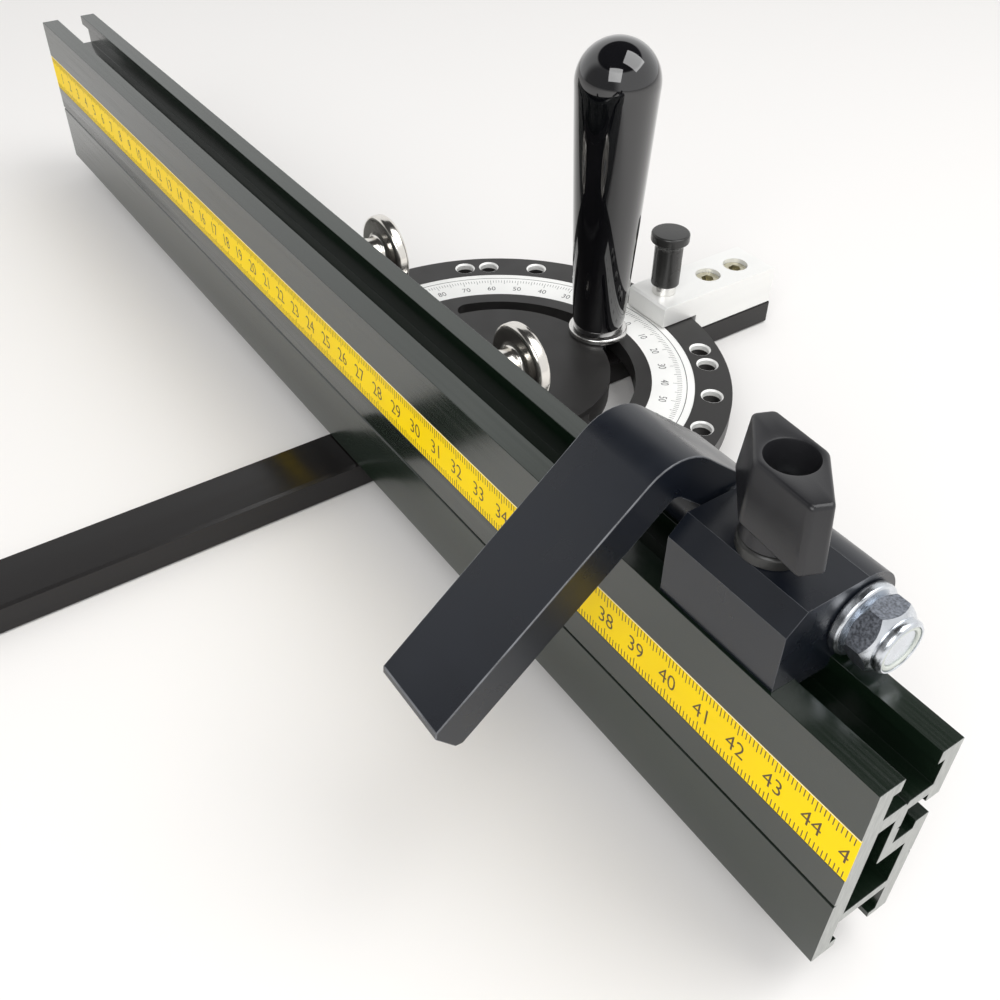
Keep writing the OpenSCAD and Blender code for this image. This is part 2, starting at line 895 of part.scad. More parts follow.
module lock_nut_insert() {
    color([0.85, 0.86, 0.86])
        translate([0, axis_y, axis_z])
            difference() {
                rod_x(nut_x + nut_hex_h - 0.2, nut_h - nut_hex_h, insert_r);
                rod_x(nut_x, nut_h + 1, arm_bolt_r + pin_clearance);
            }
}

// The arm's outline in (y, z), about its bolt, as a hook of two legs and a round knuckle.
// up is the upper leg's angle above the horizontal; the outer corner is where both legs meet.
module arm_profile() {
    up = 180 - arm_corner - arm_tilt;
    leg = [-cos(arm_tilt), -sin(arm_tilt)];
    leg_in = [sin(arm_tilt), -cos(arm_tilt)];
    rise = [-cos(up), sin(up)];
    rise_in = [-sin(up), -cos(up)];
    tangent = -arm_knuckle_r * rise_in;
    corner = tangent + arm_reach * rise;
    tip = corner + arm_drop * leg;
    half = arm_corner / 2;
    centre = corner + arm_bend_r / sin(half) * unit(leg - rise);
    start_a = atan2(-rise_in[1], -rise_in[0]);
    end_a = atan2(-leg_in[1], -leg_in[0]);
    turn = [for (i = [0:8]) let (a = start_a + (end_a - start_a) * i / 8) [cos(a), sin(a)]];
    bend = [for (i = [0:8]) centre + arm_bend_r * turn[i]];
    bend_in = [for (i = [8:-1:0]) centre + (arm_bend_r - arm_t) * turn[i]];
    r = arm_tip_r;
    translate([axis_y, axis_z])
        difference() {
            union() {
                circle(r = arm_knuckle_r);
                polygon(concat([tangent], bend, [tip - r * leg, tip + r * leg_in,
                    tip + (arm_t - r) * leg_in, tip + arm_t * leg_in - r * leg], bend_in,
                    [tangent + arm_t * rise_in]));
            }
            circle(r = arm_bolt_r + pin_clearance);
        }
}

function unit(v) = v / norm(v);

module flip_arm() {
    color(black)
        difference() {
            sweep_x(arm_left, arm_w)
                arm_profile();
            translate([0, axis_y, axis_z])
                rod_x(arm_left - 1, arm_bolt_head_h + 1.5 + slide_gap, arm_bolt_head_r + 0.25);
        }
}

// An elongated hexagon with cut-off tips, grown by g
module wing_plan(g) {
    l = wing_len / 2 + g * 1.7;
    w = wing_w / 2 + g * 0.5;
    e = wing_tip_w / 2 + g * 0.3;
    polygon([[-l, -e], [0, -w], [l, -e], [l, e], [0, w], [-l, e]]);
}

module wing_knob() {
    edge = 0.6;
    color(black)
        translate([stop_x, stop_bolt_y, wing_z])
            difference() {
                union() {
                    cylinder(r1 = wing_neck_r, r2 = wing_neck_r - 0.5, h = wing_neck_h + 1);
                    rotate([0, 0, -23.2])
                        hull() {
                            translate([0, 0, wing_neck_h])
                                linear_extrude(height = 0.1)
                                    wing_plan(wing_flare - edge);
                            translate([0, 0, wing_neck_h + edge])
                                linear_extrude(height = 0.1)
                                    wing_plan(wing_flare);
                            translate([0, 0, wing_neck_h + wing_h - edge])
                                linear_extrude(height = 0.1)
                                    wing_plan(0);
                            translate([0, 0, wing_neck_h + wing_h - 0.1])
                                linear_extrude(height = 0.1)
                                    wing_plan(-edge * 0.7);
                        }
                }
                translate([0, 0, -1])
                    cylinder(r = wing_insert_r, h = wing_insert_h + 1);
                translate([0, 0, wing_insert_h - eps])
                    cylinder(r = wing_hole_r, h = wing_h + 2);
            }
}

module wing_knob_insert() {
    color(brass)
        translate([stop_x, stop_bolt_y, wing_z])
            difference() {
                cylinder(r = wing_insert_r, h = wing_insert_h);
                translate([0, 0, -1])
                    cylinder(r = stop_bolt_r + pin_clearance, h = wing_insert_h + 2);
            }
}

miter_bar();
pivot_screw();
pivot_washer();
index_block();
index_block_screws();
plunger_sleeve();
plunger_spring();
plunger_pin();
plunger_knob();
handle_grip();
handle_stud();
handle_washer();
protractor_head();
scale_ring();
fence_bolt_left();
fence_bolt_right();
fence_knob_left();
fence_knob_right();
fence();
tape_scale();
stop_block();
stop_slot_bolt();
wing_knob_collar();
arm_bolt();
arm_spacer_washer();
arm_nut_washer();
arm_lock_nut();
lock_nut_insert();
flip_arm();
wing_knob();
wing_knob_insert();
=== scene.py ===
"""Looks of the miter gauge: finishes, rounded edges, turned and moulded parts, and the printed scales."""
import json
import math

import bmesh
import bpy
import numpy as np
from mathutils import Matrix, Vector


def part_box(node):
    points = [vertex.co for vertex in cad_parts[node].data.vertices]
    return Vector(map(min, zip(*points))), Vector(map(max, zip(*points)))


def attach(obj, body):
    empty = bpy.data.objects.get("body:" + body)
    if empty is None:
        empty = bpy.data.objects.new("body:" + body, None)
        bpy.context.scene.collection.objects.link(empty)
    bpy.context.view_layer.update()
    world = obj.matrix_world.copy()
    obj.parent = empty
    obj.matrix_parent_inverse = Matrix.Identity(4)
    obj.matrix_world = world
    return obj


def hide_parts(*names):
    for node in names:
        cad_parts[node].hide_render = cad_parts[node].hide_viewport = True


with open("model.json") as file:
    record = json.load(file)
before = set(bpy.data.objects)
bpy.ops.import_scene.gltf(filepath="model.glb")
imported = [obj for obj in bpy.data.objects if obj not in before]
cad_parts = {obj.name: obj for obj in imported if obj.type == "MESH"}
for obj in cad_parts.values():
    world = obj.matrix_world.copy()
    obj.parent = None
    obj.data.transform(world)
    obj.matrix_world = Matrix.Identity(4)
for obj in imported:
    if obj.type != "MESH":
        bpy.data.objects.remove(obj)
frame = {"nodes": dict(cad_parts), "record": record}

bl_info = {
    "name": "Miter gauge looks",
    "version": (1, 0, 0),
    "blender": (4, 5, 0),
    "location": "View3D > Sidebar > Miter gauge",
    "description": "Dresses the miter gauge with its finishes, scales and rounded pieces",
    "category": "Object",
}

MM = 0.001
BODY_OF = {node: body for body, nodes in frame["record"]["behaviour"]["bodies"].items() for node in nodes}
SLOT_OF = {entry["node"]: entry["material_slot"] for entry in frame["record"]["subparts"]}
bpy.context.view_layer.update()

# Lamps: their places in metres, and the fill lamp's power as a share of the key lamp's
KEY_PLACE = (0.5, 0.45, 1.15)
FILL_PLACE = (0.7, -0.8, 0.9)
FILL_SHARE = 0.9

# Printed marks and figures, in millimetres
INK = 0.03
TAPE_MARKS = (2.9, 2.5, 2.0)
RING_MARKS = (3.0, 2.4, 1.6)
RING_MARK_WIDTH = 0.14
RING_MARK_R = 58.9
RING_FIGURE_R = 53.2
RING_LINE_R = (60.3, 60.55)

# Index holes: the circle that they lie on in millimetres, and their places in degrees
INDEX_R = 68.5
INDEX_STOPS = (0, 22.5, 30, 45, 60, 67.5)

# Wing knob in millimetres: half its length, width and tip, and how much of the flare each of them takes
WING_HALF = np.array([13.0, 6.9, 2.15])
WING_GROWTH = np.array([1.7, 0.5, 0.3])
WING_NECK = 4.1
WING_FLARE = 1.15
WING_HOLE_R = 4.9
WING_INSERT_R = 5.2
WING_INSERT_H = 8.0
WING_TURN = math.radians(-23.2)


def box_mm(node):
    """The lowest and highest corners of a CAD node, in millimetres."""
    low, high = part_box(node)
    return np.array(low) / MM, np.array(high) / MM


def middle(node):
    """The middle of a CAD node's box, in millimetres."""
    low, high = box_mm(node)
    return (low + high) / 2


# Shapes

def turned(profile, steps=96):
    """A profile of (radius, height) turned about +Z: (r cos a, r sin a, h) for a over a full turn."""
    profile = np.asarray(profile, float)
    angle = np.linspace(0, 2 * math.pi, steps, endpoint=False)
    radius, height = profile[:, 0][:, None], profile[:, 1][:, None]
    grid = np.stack([radius * np.cos(angle), radius * np.sin(angle), height + 0 * angle], axis=2)
    return grid_faces(grid, wrap=True)


def grid_faces(grid, wrap=False, closed=False):
    """Quads between neighbours on a grid; wrap joins its last column to its first, and closed its rows."""
    rows, columns = grid.shape[:2]
    index = np.arange(rows * columns).reshape(rows, columns)
    if wrap:
        index = np.concatenate([index, index[:, :1]], axis=1)
    if closed:
        index = np.concatenate([index, index[:1]], axis=0)
    quads = np.stack([index[:-1, :-1], index[:-1, 1:], index[1:, 1:], index[1:, :-1]], axis=2)
    return grid.reshape(-1, 3), quads.reshape(-1, 4)


def rounded(points, radii, steps=6):
    """A polyline whose inner corners are arcs: each arc of radius r is tangent to both of its edges."""
    points = np.asarray(points, float)
    radii = np.broadcast_to(radii, len(points))
    path = [points[0]]
    for before, corner, after, radius in zip(points[:-2], points[1:-1], points[2:], radii[1:-1]):
        if radius == 0:
            path.append(corner)
            continue
        a = (before - corner) / np.linalg.norm(before - corner)
        b = (after - corner) / np.linalg.norm(after - corner)
        half = math.acos(np.clip(a @ b, -1, 1)) / 2
        reach = radius / math.tan(half)
        centre = corner + (a + b) / np.linalg.norm(a + b) * radius / math.sin(half)
        start, end = corner + a * reach - centre, corner + b * reach - centre
        share = np.linspace(0, 1, steps + 1)[:, None]
        arc = start * (1 - share) + end * share
        path.extend(centre + arc / np.linalg.norm(arc, axis=1)[:, None] * radius)
    path.append(points[-1])
    return np.array(path)


def placed(shape, origin=(0, 0, 0), x=(1, 0, 0), y=(0, 1, 0), z=(0, 0, 1)):
    """The shape's points moved into the frame with the given axes and origin."""
    points, faces = shape
    return np.asarray(points) @ np.array([x, y, z], float) + np.array(origin, float), faces


def joined(shapes):
    """Several shapes with faces of one size as a single one."""
    points, faces, count = [], [], 0
    for shape_points, shape_faces in shapes:
        points.append(shape_points)
        faces.append(np.asarray(shape_faces) + count)
        count += len(shape_points)
    return np.concatenate(points), np.concatenate(faces)


def bars(centres, sizes):
    """Upright boxes with the given centres and sizes: centre + size * corner / 2 for the eight corners."""
    centres = np.asarray(centres, float)
    sizes = np.broadcast_to(np.asarray(sizes, float), centres.shape)
    signs = np.array([[a, b, c] for a in (-1, 1) for b in (-1, 1) for c in (-1, 1)])
    points = centres[:, None] + sizes[:, None] * signs / 2
    sides = np.array([[0, 1, 3, 2], [4, 6, 7, 5], [0, 4, 5, 1], [2, 3, 7, 6], [0, 2, 6, 4], [1, 5, 7, 3]])
    faces = sides[None] + 8 * np.arange(len(centres))[:, None, None]
    return points.reshape(-1, 3), faces.reshape(-1, 4)


def around(path, count):
    """A closed outline resampled at equal steps of its length, as count points."""
    path = np.concatenate([path, path[:1]])
    along = np.concatenate([[0], np.cumsum(np.linalg.norm(np.diff(path, axis=0), axis=1))])
    places = np.linspace(0, along[-1], count, endpoint=False)
    return np.stack([np.interp(places, along, path[:, 0]), np.interp(places, along, path[:, 1])], axis=1)


def hex_nut(across, face, height, collar, total, bore, turn):
    """A lock nut along +Z: radius across / 2 / cos(a mod 60 - 30) between chamfers, and a round collar."""
    angle = np.radians(turn + np.arange(0, 360, 2.5))
    hexagon = across / 2 / np.cos((angle - math.radians(turn)) % (math.pi / 3) - math.pi / 6)
    slope = hexagon - face
    even = 0 * angle
    rows = [(bore + even, even), (face + even, even), (hexagon, slope), (hexagon, height - slope),
            (face + even, height + even)]
    lip = collar - 0.9
    ring = [(face - 0.15, height + 0.05), (collar - 0.15, height + 0.2), (collar, height + 0.5),
            (collar, total - 0.7), (collar - 0.25, total - 0.25), (collar - 0.6, total),
            (collar - 0.85, total - 0.1), (lip, total - 0.4), (lip, height - 0.2), (bore, height - 0.2)]
    rows += [(radius + even, level + even) for radius, level in ring]
    grid = np.stack([np.stack([r * np.cos(angle), r * np.sin(angle), z], axis=1) for r, z in rows])
    return grid_faces(grid, wrap=True, closed=True)


def wing_outline(grow, inset, count=200):
    """The wing knob's plan: a long hexagon with rounded corners, grown by its flare, drawn in by inset."""
    length, width, tip = WING_HALF + grow * WING_GROWTH
    at_tip, at_side = 1.1, 2.4
    corners = [(-length, 0), (-length, -tip), (0, -width), (length, -tip), (length, tip), (0, width),
               (-length, tip), (-length, 0)]
    path = rounded(corners, [0, at_tip, at_side, at_tip, at_tip, at_side, at_tip, 0])[:-1]
    return around(path, count) * (1 - inset / length, 1 - inset / width)


def wing_body(neck, height, flare, foot_edge, top_edge, rings):
    """The wing knob's skin: plans grown by flare * (1 - h / height) at each level h, closed by rings."""
    arc = np.linspace(0, math.pi / 2, 6)
    levels = [(foot_edge * (1 - math.sin(a)), foot_edge * (1 - math.cos(a))) for a in arc]
    levels += [(top_edge * (1 - math.cos(a)), height - top_edge * (1 - math.sin(a))) for a in arc]
    rows = []
    for inset, level in levels:
        plan = wing_outline(flare * (1 - level / height), inset)
        rows.append(np.column_stack([plan, np.full(len(plan), neck + level)]))
    angle = np.arctan2(rows[-1][:, 1], rows[-1][:, 0])
    for radius, level in rings:
        rows.append(np.stack([radius * np.cos(angle), radius * np.sin(angle), level + 0 * angle], axis=1))
    return grid_faces(np.stack(rows), wrap=True, closed=True)


_figures = {}


def figure(word):
    """A number as thin flat letters one unit high in the XY plane, centred, from Blender's own font."""
    if word not in _figures:
        curve = bpy.data.curves.new("figure", "FONT")
        curve.body = word
        curve.align_x = curve.align_y = "CENTER"
        curve.resolution_u = 3
        curve.extrude = 0.004
        curve.offset = -0.007
        holder = bpy.data.objects.new("figure", curve)
        mesh = bpy.data.meshes.new_from_object(holder)
        points = np.array([v.co for v in mesh.vertices])
        faces = [tuple(p.vertices) for p in mesh.polygons]
        bpy.data.objects.remove(holder)
        bpy.data.curves.remove(curve)
        bpy.data.meshes.remove(mesh)
        points[:, :2] -= (points.min(0) + points.max(0))[:2] / 2
        points[:, :2] /= 0.7
        _figures[word] = points, faces
    points, faces = _figures[word]
    return points.copy(), faces


def figures(entries, height, squeeze=0.85):
    """Numbers at (word, origin, x axis, y axis), each as high as height, as one shape of mixed faces."""
    points, faces, count = [], [], 0
    for word, origin, x, y in entries:
        shape, polygons = figure(word)
        z = np.cross(x, y)
        scaled = shape * (height * squeeze, height, 1 / 0.2)
        points.append(scaled @ np.array([x, y, z]) + np.array(origin))
        faces.extend(tuple(i + count for i in p) for p in polygons)
        count += len(shape)
    return np.concatenate(points), faces


# Pieces

def piece(name, shape, material, body, replaces=(), smooth_angle=35):
    """A mesh object from a shape in millimetres, closed, with its faces outwards, riding on a body."""
    points, faces = shape
    mesh = bpy.data.meshes.new(name)
    mesh.from_pydata((np.asarray(points) * MM).tolist(), [], [list(map(int, f)) for f in faces])
    work = bmesh.new()
    work.from_mesh(mesh)
    bmesh.ops.remove_doubles(work, verts=work.verts, dist=1e-7)
    bmesh.ops.dissolve_degenerate(work, edges=work.edges, dist=1e-8)
    bmesh.ops.recalc_face_normals(work, faces=work.faces)
    work.to_mesh(mesh)
    work.free()
    return finished(name, mesh, material, body, replaces, smooth_angle)


def finished(name, mesh, material, body, replaces=(), smooth_angle=35):
    """An object for the mesh, shaded smooth up to an angle, with its material and body."""
    mesh.shade_smooth()
    mesh.set_sharp_from_angle(angle=math.radians(smooth_angle))
    mesh.materials.clear()
    mesh.materials.append(material)
    made = bpy.data.objects.new(name, mesh)
    bpy.context.scene.collection.objects.link(made)
    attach(made, body)
    if replaces:
        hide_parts(*replaces)
    return made


def dressed(node, material, edge=0.4, angle=30, segments=3, edge_highlight=None):
    """A welded copy of a CAD node with its edges rounded, the rounds optionally in a lighter finish that
    paints a highlight along them, in place of the node.
    """
    mesh = frame["nodes"][node].data.copy()
    work = bmesh.new()
    work.from_mesh(mesh)
    bmesh.ops.remove_doubles(work, verts=work.verts, dist=1e-6)
    bmesh.ops.dissolve_limit(work, angle_limit=math.radians(0.5), verts=work.verts, edges=work.edges)
    work.to_mesh(mesh)
    work.free()
    made = finished(node + "_finished", mesh, material, BODY_OF[node], (node,), angle)
    if edge:
        bevel = made.modifiers.new("edges", "BEVEL")
        bevel.width = edge * MM
        bevel.segments = segments
        bevel.limit_method = "ANGLE"
        bevel.angle_limit = math.radians(angle)
        bevel.harden_normals = True
        bevel.use_clamp_overlap = True
        # The bevel faces take the second finish: a lighter colour that paints a highlight along the edges
        if edge_highlight:
            mesh.materials.append(edge_highlight)
            bevel.material = 1
    return made


# Materials

class Finish:
    """Builds one Principled material whose detail comes from noise on object coordinates."""

    def __init__(self, name):
        self.material = bpy.data.materials.new(name)
        self.material.use_nodes = True
        self.nodes = self.material.node_tree.nodes
        self.links = self.material.node_tree.links
        self.nodes.clear()
        self.output = self.nodes.new("ShaderNodeOutputMaterial")
        self.shader = self.nodes.new("ShaderNodeBsdfPrincipled")
        self.links.new(self.shader.outputs[0], self.output.inputs[0])
        self.place = self.nodes.new("ShaderNodeTexCoord").outputs["Object"]

    def put(self, kind, inputs=None, **settings):
        """A node with its settings; inputs are values or the sockets to link."""
        node = self.nodes.new(kind)
        for key, value in settings.items():
            setattr(node, key, value)
        for key, value in (inputs or {}).items():
            if isinstance(value, bpy.types.NodeSocket):
                self.links.new(value, node.inputs[key])
            else:
                node.inputs[key].default_value = value
        return node

    def noise(self, size, stretch=(1, 1, 1), detail=3.0):
        """Noise whose grains are about size millimetres across, drawn out along an axis by stretch."""
        mapping = self.put("ShaderNodeMapping", {"Vector": self.place})
        mapping.inputs["Scale"].default_value = [1 / (size * MM * s) for s in stretch]
        return self.put("ShaderNodeTexNoise", {"Vector": mapping.outputs[0], "Scale": 1.0,
                                               "Detail": detail}).outputs["Fac"]

    def between(self, factor, low, high, start=0.35, end=0.65):
        """The factor's span from start to end, spread from low to high."""
        return self.put("ShaderNodeMapRange", {"Value": factor, "From Min": start, "From Max": end,
                                               "To Min": low, "To Max": high}).outputs[0]

    def mixed(self, factor, first, second):
        """A colour that goes from first to second with the factor."""
        mix = self.put("ShaderNodeMix", data_type="RGBA")
        for socket, value in ((mix.inputs[0], factor), (mix.inputs[6], first), (mix.inputs[7], second)):
            if isinstance(value, bpy.types.NodeSocket):
                self.links.new(value, socket)
            else:
                socket.default_value = value if isinstance(value, float) else (*value, 1)[:4]
        return mix.outputs[2]

    def set(self, **values):
        """Shader sockets by name, with underscores for spaces; a value or a socket to link."""
        for key, value in values.items():
            socket = self.shader.inputs[key.replace("_", " ")]
            if isinstance(value, bpy.types.NodeSocket):
                self.links.new(value, socket)
            else:
                socket.default_value = value
        return self

    def bump(self, height, depth, strength=1.0):
        """Relief of the given depth, in millimetres."""
        node = self.put("ShaderNodeBump", {"Height": height, "Distance": depth * MM, "Strength": strength})
        self.links.new(node.outputs[0], self.shader.inputs["Normal"])
        return self


def surface(name, colour, roughness, metallic=0.0, tint=0.12, spread=0.06, grain=0.25, depth=0.01,
            stretch=(1, 1, 1), patch=12.0, coat=0.0, coat_roughness=0.05, ior=1.5, specular=0.5):
    """A finish: slow patches of tint and roughness, and a fine grain in relief."""
    finish = Finish(name)
    patches = finish.noise(patch, stretch)
    fine = finish.noise(grain, stretch, 2.0)
    colour = np.array(colour, float)
    finish.set(Metallic=metallic, IOR=ior, Specular_IOR_Level=specular,
               Coat_Weight=coat, Coat_Roughness=coat_roughness,
               Base_Color=finish.mixed(finish.between(patches, 0.0, 1.0), colour * (1 - tint),
                                       np.minimum(colour * (1 + tint), 1)),
               Roughness=finish.between(patches, roughness - spread, roughness + spread))
    finish.bump(fine, depth)
    return finish


def fence_finish(colour, end_x):
    """Gloss green anodising drawn along X, with bright sawn ends past the two end planes."""
    finish = Finish("green_anodised")
    draw = finish.noise(0.6, (80, 1, 1), 3.0)
    patches = finish.noise(30, (6, 1, 1))
    saw = finish.noise(0.5, (1, 0.6, 8), 2.0)
    x = finish.put("ShaderNodeSeparateXYZ", {"Vector": finish.place}).outputs["X"]
    near = finish.put("ShaderNodeMath", {0: x, 1: (end_x[1] - 0.06) * MM}, operation="GREATER_THAN")
    far = finish.put("ShaderNodeMath", {0: x, 1: (end_x[0] + 0.06) * MM}, operation="LESS_THAN")
    either = finish.put("ShaderNodeMath", {0: near.outputs[0], 1: far.outputs[0]}, operation="MAXIMUM")
    end = either.outputs[0]
    colour = np.array(colour)
    green = finish.mixed(finish.between(patches, 0.0, 1.0), colour * 0.85, colour * 1.15)
    bright = finish.mixed(finish.between(saw, 0.0, 1.0), (0.36, 0.37, 0.36), (0.50, 0.51, 0.49))
    metal = finish.put("ShaderNodeMath", {0: end, 1: 0.7}, operation="MULTIPLY").outputs[0]
    finish.set(Base_Color=finish.mixed(end, green, bright), Metallic=metal, IOR=1.8,
               Roughness=finish.put("ShaderNodeMix", {0: end, 2: finish.between(draw, 0.17, 0.25),
                                                      3: finish.between(saw, 0.45, 0.6)}).outputs[0])
    finish.bump(draw, 0.004)
    return finish.material


def turned_metal(name, colour, roughness, axis, origin):
    """Polished turned metal: fine rings about an axis through the origin, in millimetres."""
    finish = Finish(name)
    mapping = finish.put("ShaderNodeMapping", {"Vector": finish.place})
    mapping.inputs["Location"].default_value = [-v * MM for v in origin]
    split = finish.put("ShaderNodeSeparateXYZ", {"Vector": mapping.outputs[0]})
    flat = finish.put("ShaderNodeCombineXYZ")
    for name_of in "XYZ":
        if name_of != axis:
            finish.links.new(split.outputs[name_of], flat.inputs[name_of])
    radius = finish.put("ShaderNodeVectorMath", {0: flat.outputs[0]}, operation="LENGTH").outputs["Value"]
    rings = finish.put("ShaderNodeTexNoise", {"W": radius, "Scale": 4000.0, "Detail": 2.0},
                       noise_dimensions="1D").outputs["Fac"]
    haze = finish.noise(6)
    finish.set(Metallic=1.0,
               Base_Color=finish.mixed(finish.between(rings, 0.0, 1.0), np.array(colour) * 0.9, colour),
               Roughness=finish.between(haze, roughness * 0.8, roughness * 1.3))
    finish.bump(rings, 0.004)
    return finish.material


# Sizes and colours that a user would change

class GaugeFinish(bpy.types.PropertyGroup):
    fence_colour: bpy.props.FloatVectorProperty(
        name="Fence", description="Colour of the anodised fence", subtype="COLOR", size=3, min=0, max=1,
        default=(0.004, 0.010, 0.005))
    tape_colour: bpy.props.FloatVectorProperty(
        name="Tape", description="Colour of the measuring tape", subtype="COLOR", size=3, min=0, max=1,
        default=(1.0, 0.69, 0.0))
    ink_colour: bpy.props.FloatVectorProperty(
        name="Tape ink", description="Colour of the tape's figures and marks", subtype="COLOR", size=3,
        min=0, max=1, default=(0.085, 0.045, 0.010))
    black_colour: bpy.props.FloatVectorProperty(
        name="Matt black", description="Colour of the flip stop and its arm", subtype="COLOR", size=3,
        min=0, max=1, default=(0.005, 0.007, 0.012))
    head_colour: bpy.props.FloatVectorProperty(
        name="Head", description="Colour of the protractor head", subtype="COLOR", size=3, min=0, max=1,
        default=(0.020, 0.019, 0.0185))
    ring_colour: bpy.props.FloatVectorProperty(
        name="Scale ring", description="Colour of the head's scale", subtype="COLOR", size=3, min=0, max=1,
        default=(0.93, 0.93, 0.91))


class GaugeSizes(bpy.types.PropertyGroup):
    edge: bpy.props.FloatProperty(
        name="Edge", description="Rounding of the arm's and block's edges, in millimetres",
        default=0.45, min=0.1, max=1)
    mark_width: bpy.props.FloatProperty(
        name="Mark", description="Width of the tape's marks, in millimetres",
        default=0.2, min=0.05, max=0.4)
    figure_height: bpy.props.FloatProperty(
        name="Figures", description="Height of the tape's figures, in millimetres",
        default=4.3, min=2, max=6)
    degree_height: bpy.props.FloatProperty(
        name="Degrees", description="Height of the scale ring's figures, in millimetres",
        default=2.6, min=1, max=4)


class GaugeStage(bpy.types.PropertyGroup):
    lens: bpy.props.FloatProperty(
        name="Lens", description="Focal length of the camera, in millimetres",
        default=39.378, min=10, max=200)
    camera_place: bpy.props.FloatVectorProperty(
        name="Camera", description="Place of the camera", subtype="TRANSLATION", unit="LENGTH", size=3,
        default=(0.24475, -0.17061, 0.22239))
    camera_turn: bpy.props.FloatVectorProperty(
        name="Camera turn", description="Turn of the camera about X, Y and Z, in degrees", size=3,
        default=(48.546, -0.62, 55.72))
    floor_colour: bpy.props.FloatVectorProperty(
        name="Floor", description="Colour of the floor", subtype="COLOR", size=3, min=0, max=1,
        default=(0.83, 0.815, 0.80))
    world_light: bpy.props.FloatProperty(
        name="World", description="Strength of the light from all round", default=0.68, min=0, max=2)
    key_light: bpy.props.FloatProperty(
        name="Key light", description="Power of the large lamp, in watts", default=8.5, min=0, max=100)


MADE = {}


def finish_of(name):
    """A finish of the gauge by name, made once."""
    if not MADE:
        look = bpy.context.scene.gauge_finish
        steel = (0.78, 0.77, 0.75)
        low, high = box_mm("fence")
        MADE.update({
            "black_bar": surface("black_oxide", (0.007, 0.006, 0.006), 0.2, grain=0.3, stretch=(1, 12, 1),
                                 depth=0.004, tint=0.2, spread=0.06, specular=0.4).material,
            "bright_steel": surface("bright_steel", steel, 0.2, 1.0, tint=0.05, depth=0.003).material,
            "zinc_steel": surface("zinc_plate", (0.66, 0.69, 0.73), 0.26, 1.0, tint=0.08, grain=0.3,
                                  depth=0.012, patch=4).material,
            "nut_flat": surface("nut_flat", (0.27, 0.29, 0.33), 0.42, 1.0, tint=0.35, grain=0.35,
                                depth=0.03, patch=0.5).material,
            "yellow_zinc": surface("yellow_zinc", (0.62, 0.59, 0.46), 0.3, 1.0, tint=0.08, grain=0.2,
                                   depth=0.006, patch=3).material,
            "raw_aluminium": surface("milled_aluminium", (0.88, 0.88, 0.86), 0.38, 0.3, tint=0.03,
                                     grain=0.2, stretch=(1, 14, 1), depth=0.006).material,
            "drilled_aluminium": surface("drilled_aluminium", (0.90, 0.90, 0.88), 0.4, 0.3, tint=0.04,
                                         grain=0.2, stretch=(4, 4, 1), depth=0.006).material,
            "black_plastic": surface("moulded_black", (0.026, 0.026, 0.025), 0.28, grain=0.2,
                                     depth=0.006).material,
            "handle_black": surface("gloss_black", (0.003, 0.003, 0.004), 0.05, tint=0.2, spread=0.01,
                                    grain=4, depth=0.003, coat=1.0, coat_roughness=0.02, ior=1.55).material,
            "black_head": surface("satin_black_head", look.head_colour, 0.42, grain=0.18, depth=0.012,
                                  tint=0.1, spread=0.05).material,
            "scale_silver": surface("satin_silver", look.ring_colour, 0.42, 0.1, tint=0.03, grain=0.15,
                                    depth=0.003).material,
            "green_anodised": fence_finish(look.fence_colour, (low[0], high[0])),
            "tape_yellow": surface("yellow_tape", look.tape_colour, 0.45, tint=0.03, grain=1.0, depth=0.003,
                                   patch=40, specular=0.15).material,
            "black_anodised": surface("matt_black", look.black_colour, 0.3, grain=0.12, depth=0.006,
                                      tint=0.12, spread=0.04, ior=1.58).material,
            # Lighter than the matt black: a painted highlight along the rounded edges of the arm and block
            "painted_edge_highlight": surface("painted_edge_highlight", (0.11, 0.115, 0.125), 0.3, grain=0.15, depth=0.004,
                                 tint=0.3, patch=5).material,
            "white_nylon": surface("nylon", (0.60, 0.63, 0.58), 0.35, tint=0.04, depth=0.006).material,
            "wing_black": surface("moulded_wing", (0.014, 0.014, 0.016), 0.34, grain=0.25, depth=0.014,
                                  tint=0.12).material,
            "insert_brass": surface("brass", (0.80, 0.60, 0.28), 0.3, 1.0).material,
            "tape_ink": surface("tape_ink", look.ink_colour, 0.45, tint=0.1, depth=0.0).material,
            "scale_ink": surface("scale_ink", (0.05, 0.05, 0.055), 0.45, tint=0.1, depth=0.0).material,
            "tape_edge": surface("tape_edge", (0.86, 0.84, 0.76), 0.4, tint=0.03, depth=0.0).material,
        })
    return MADE[name]


class GAUGE_OT_finishes(bpy.types.Operator):
    """Give every carried-over piece its finish"""
    bl_idname = "gauge.finishes"
    bl_label = "Finishes"

    def execute(self, context):
        for node, made in frame["nodes"].items():
            made.data.materials.clear()
            made.data.materials.append(finish_of(SLOT_OF[node]))
        return {"FINISHED"}


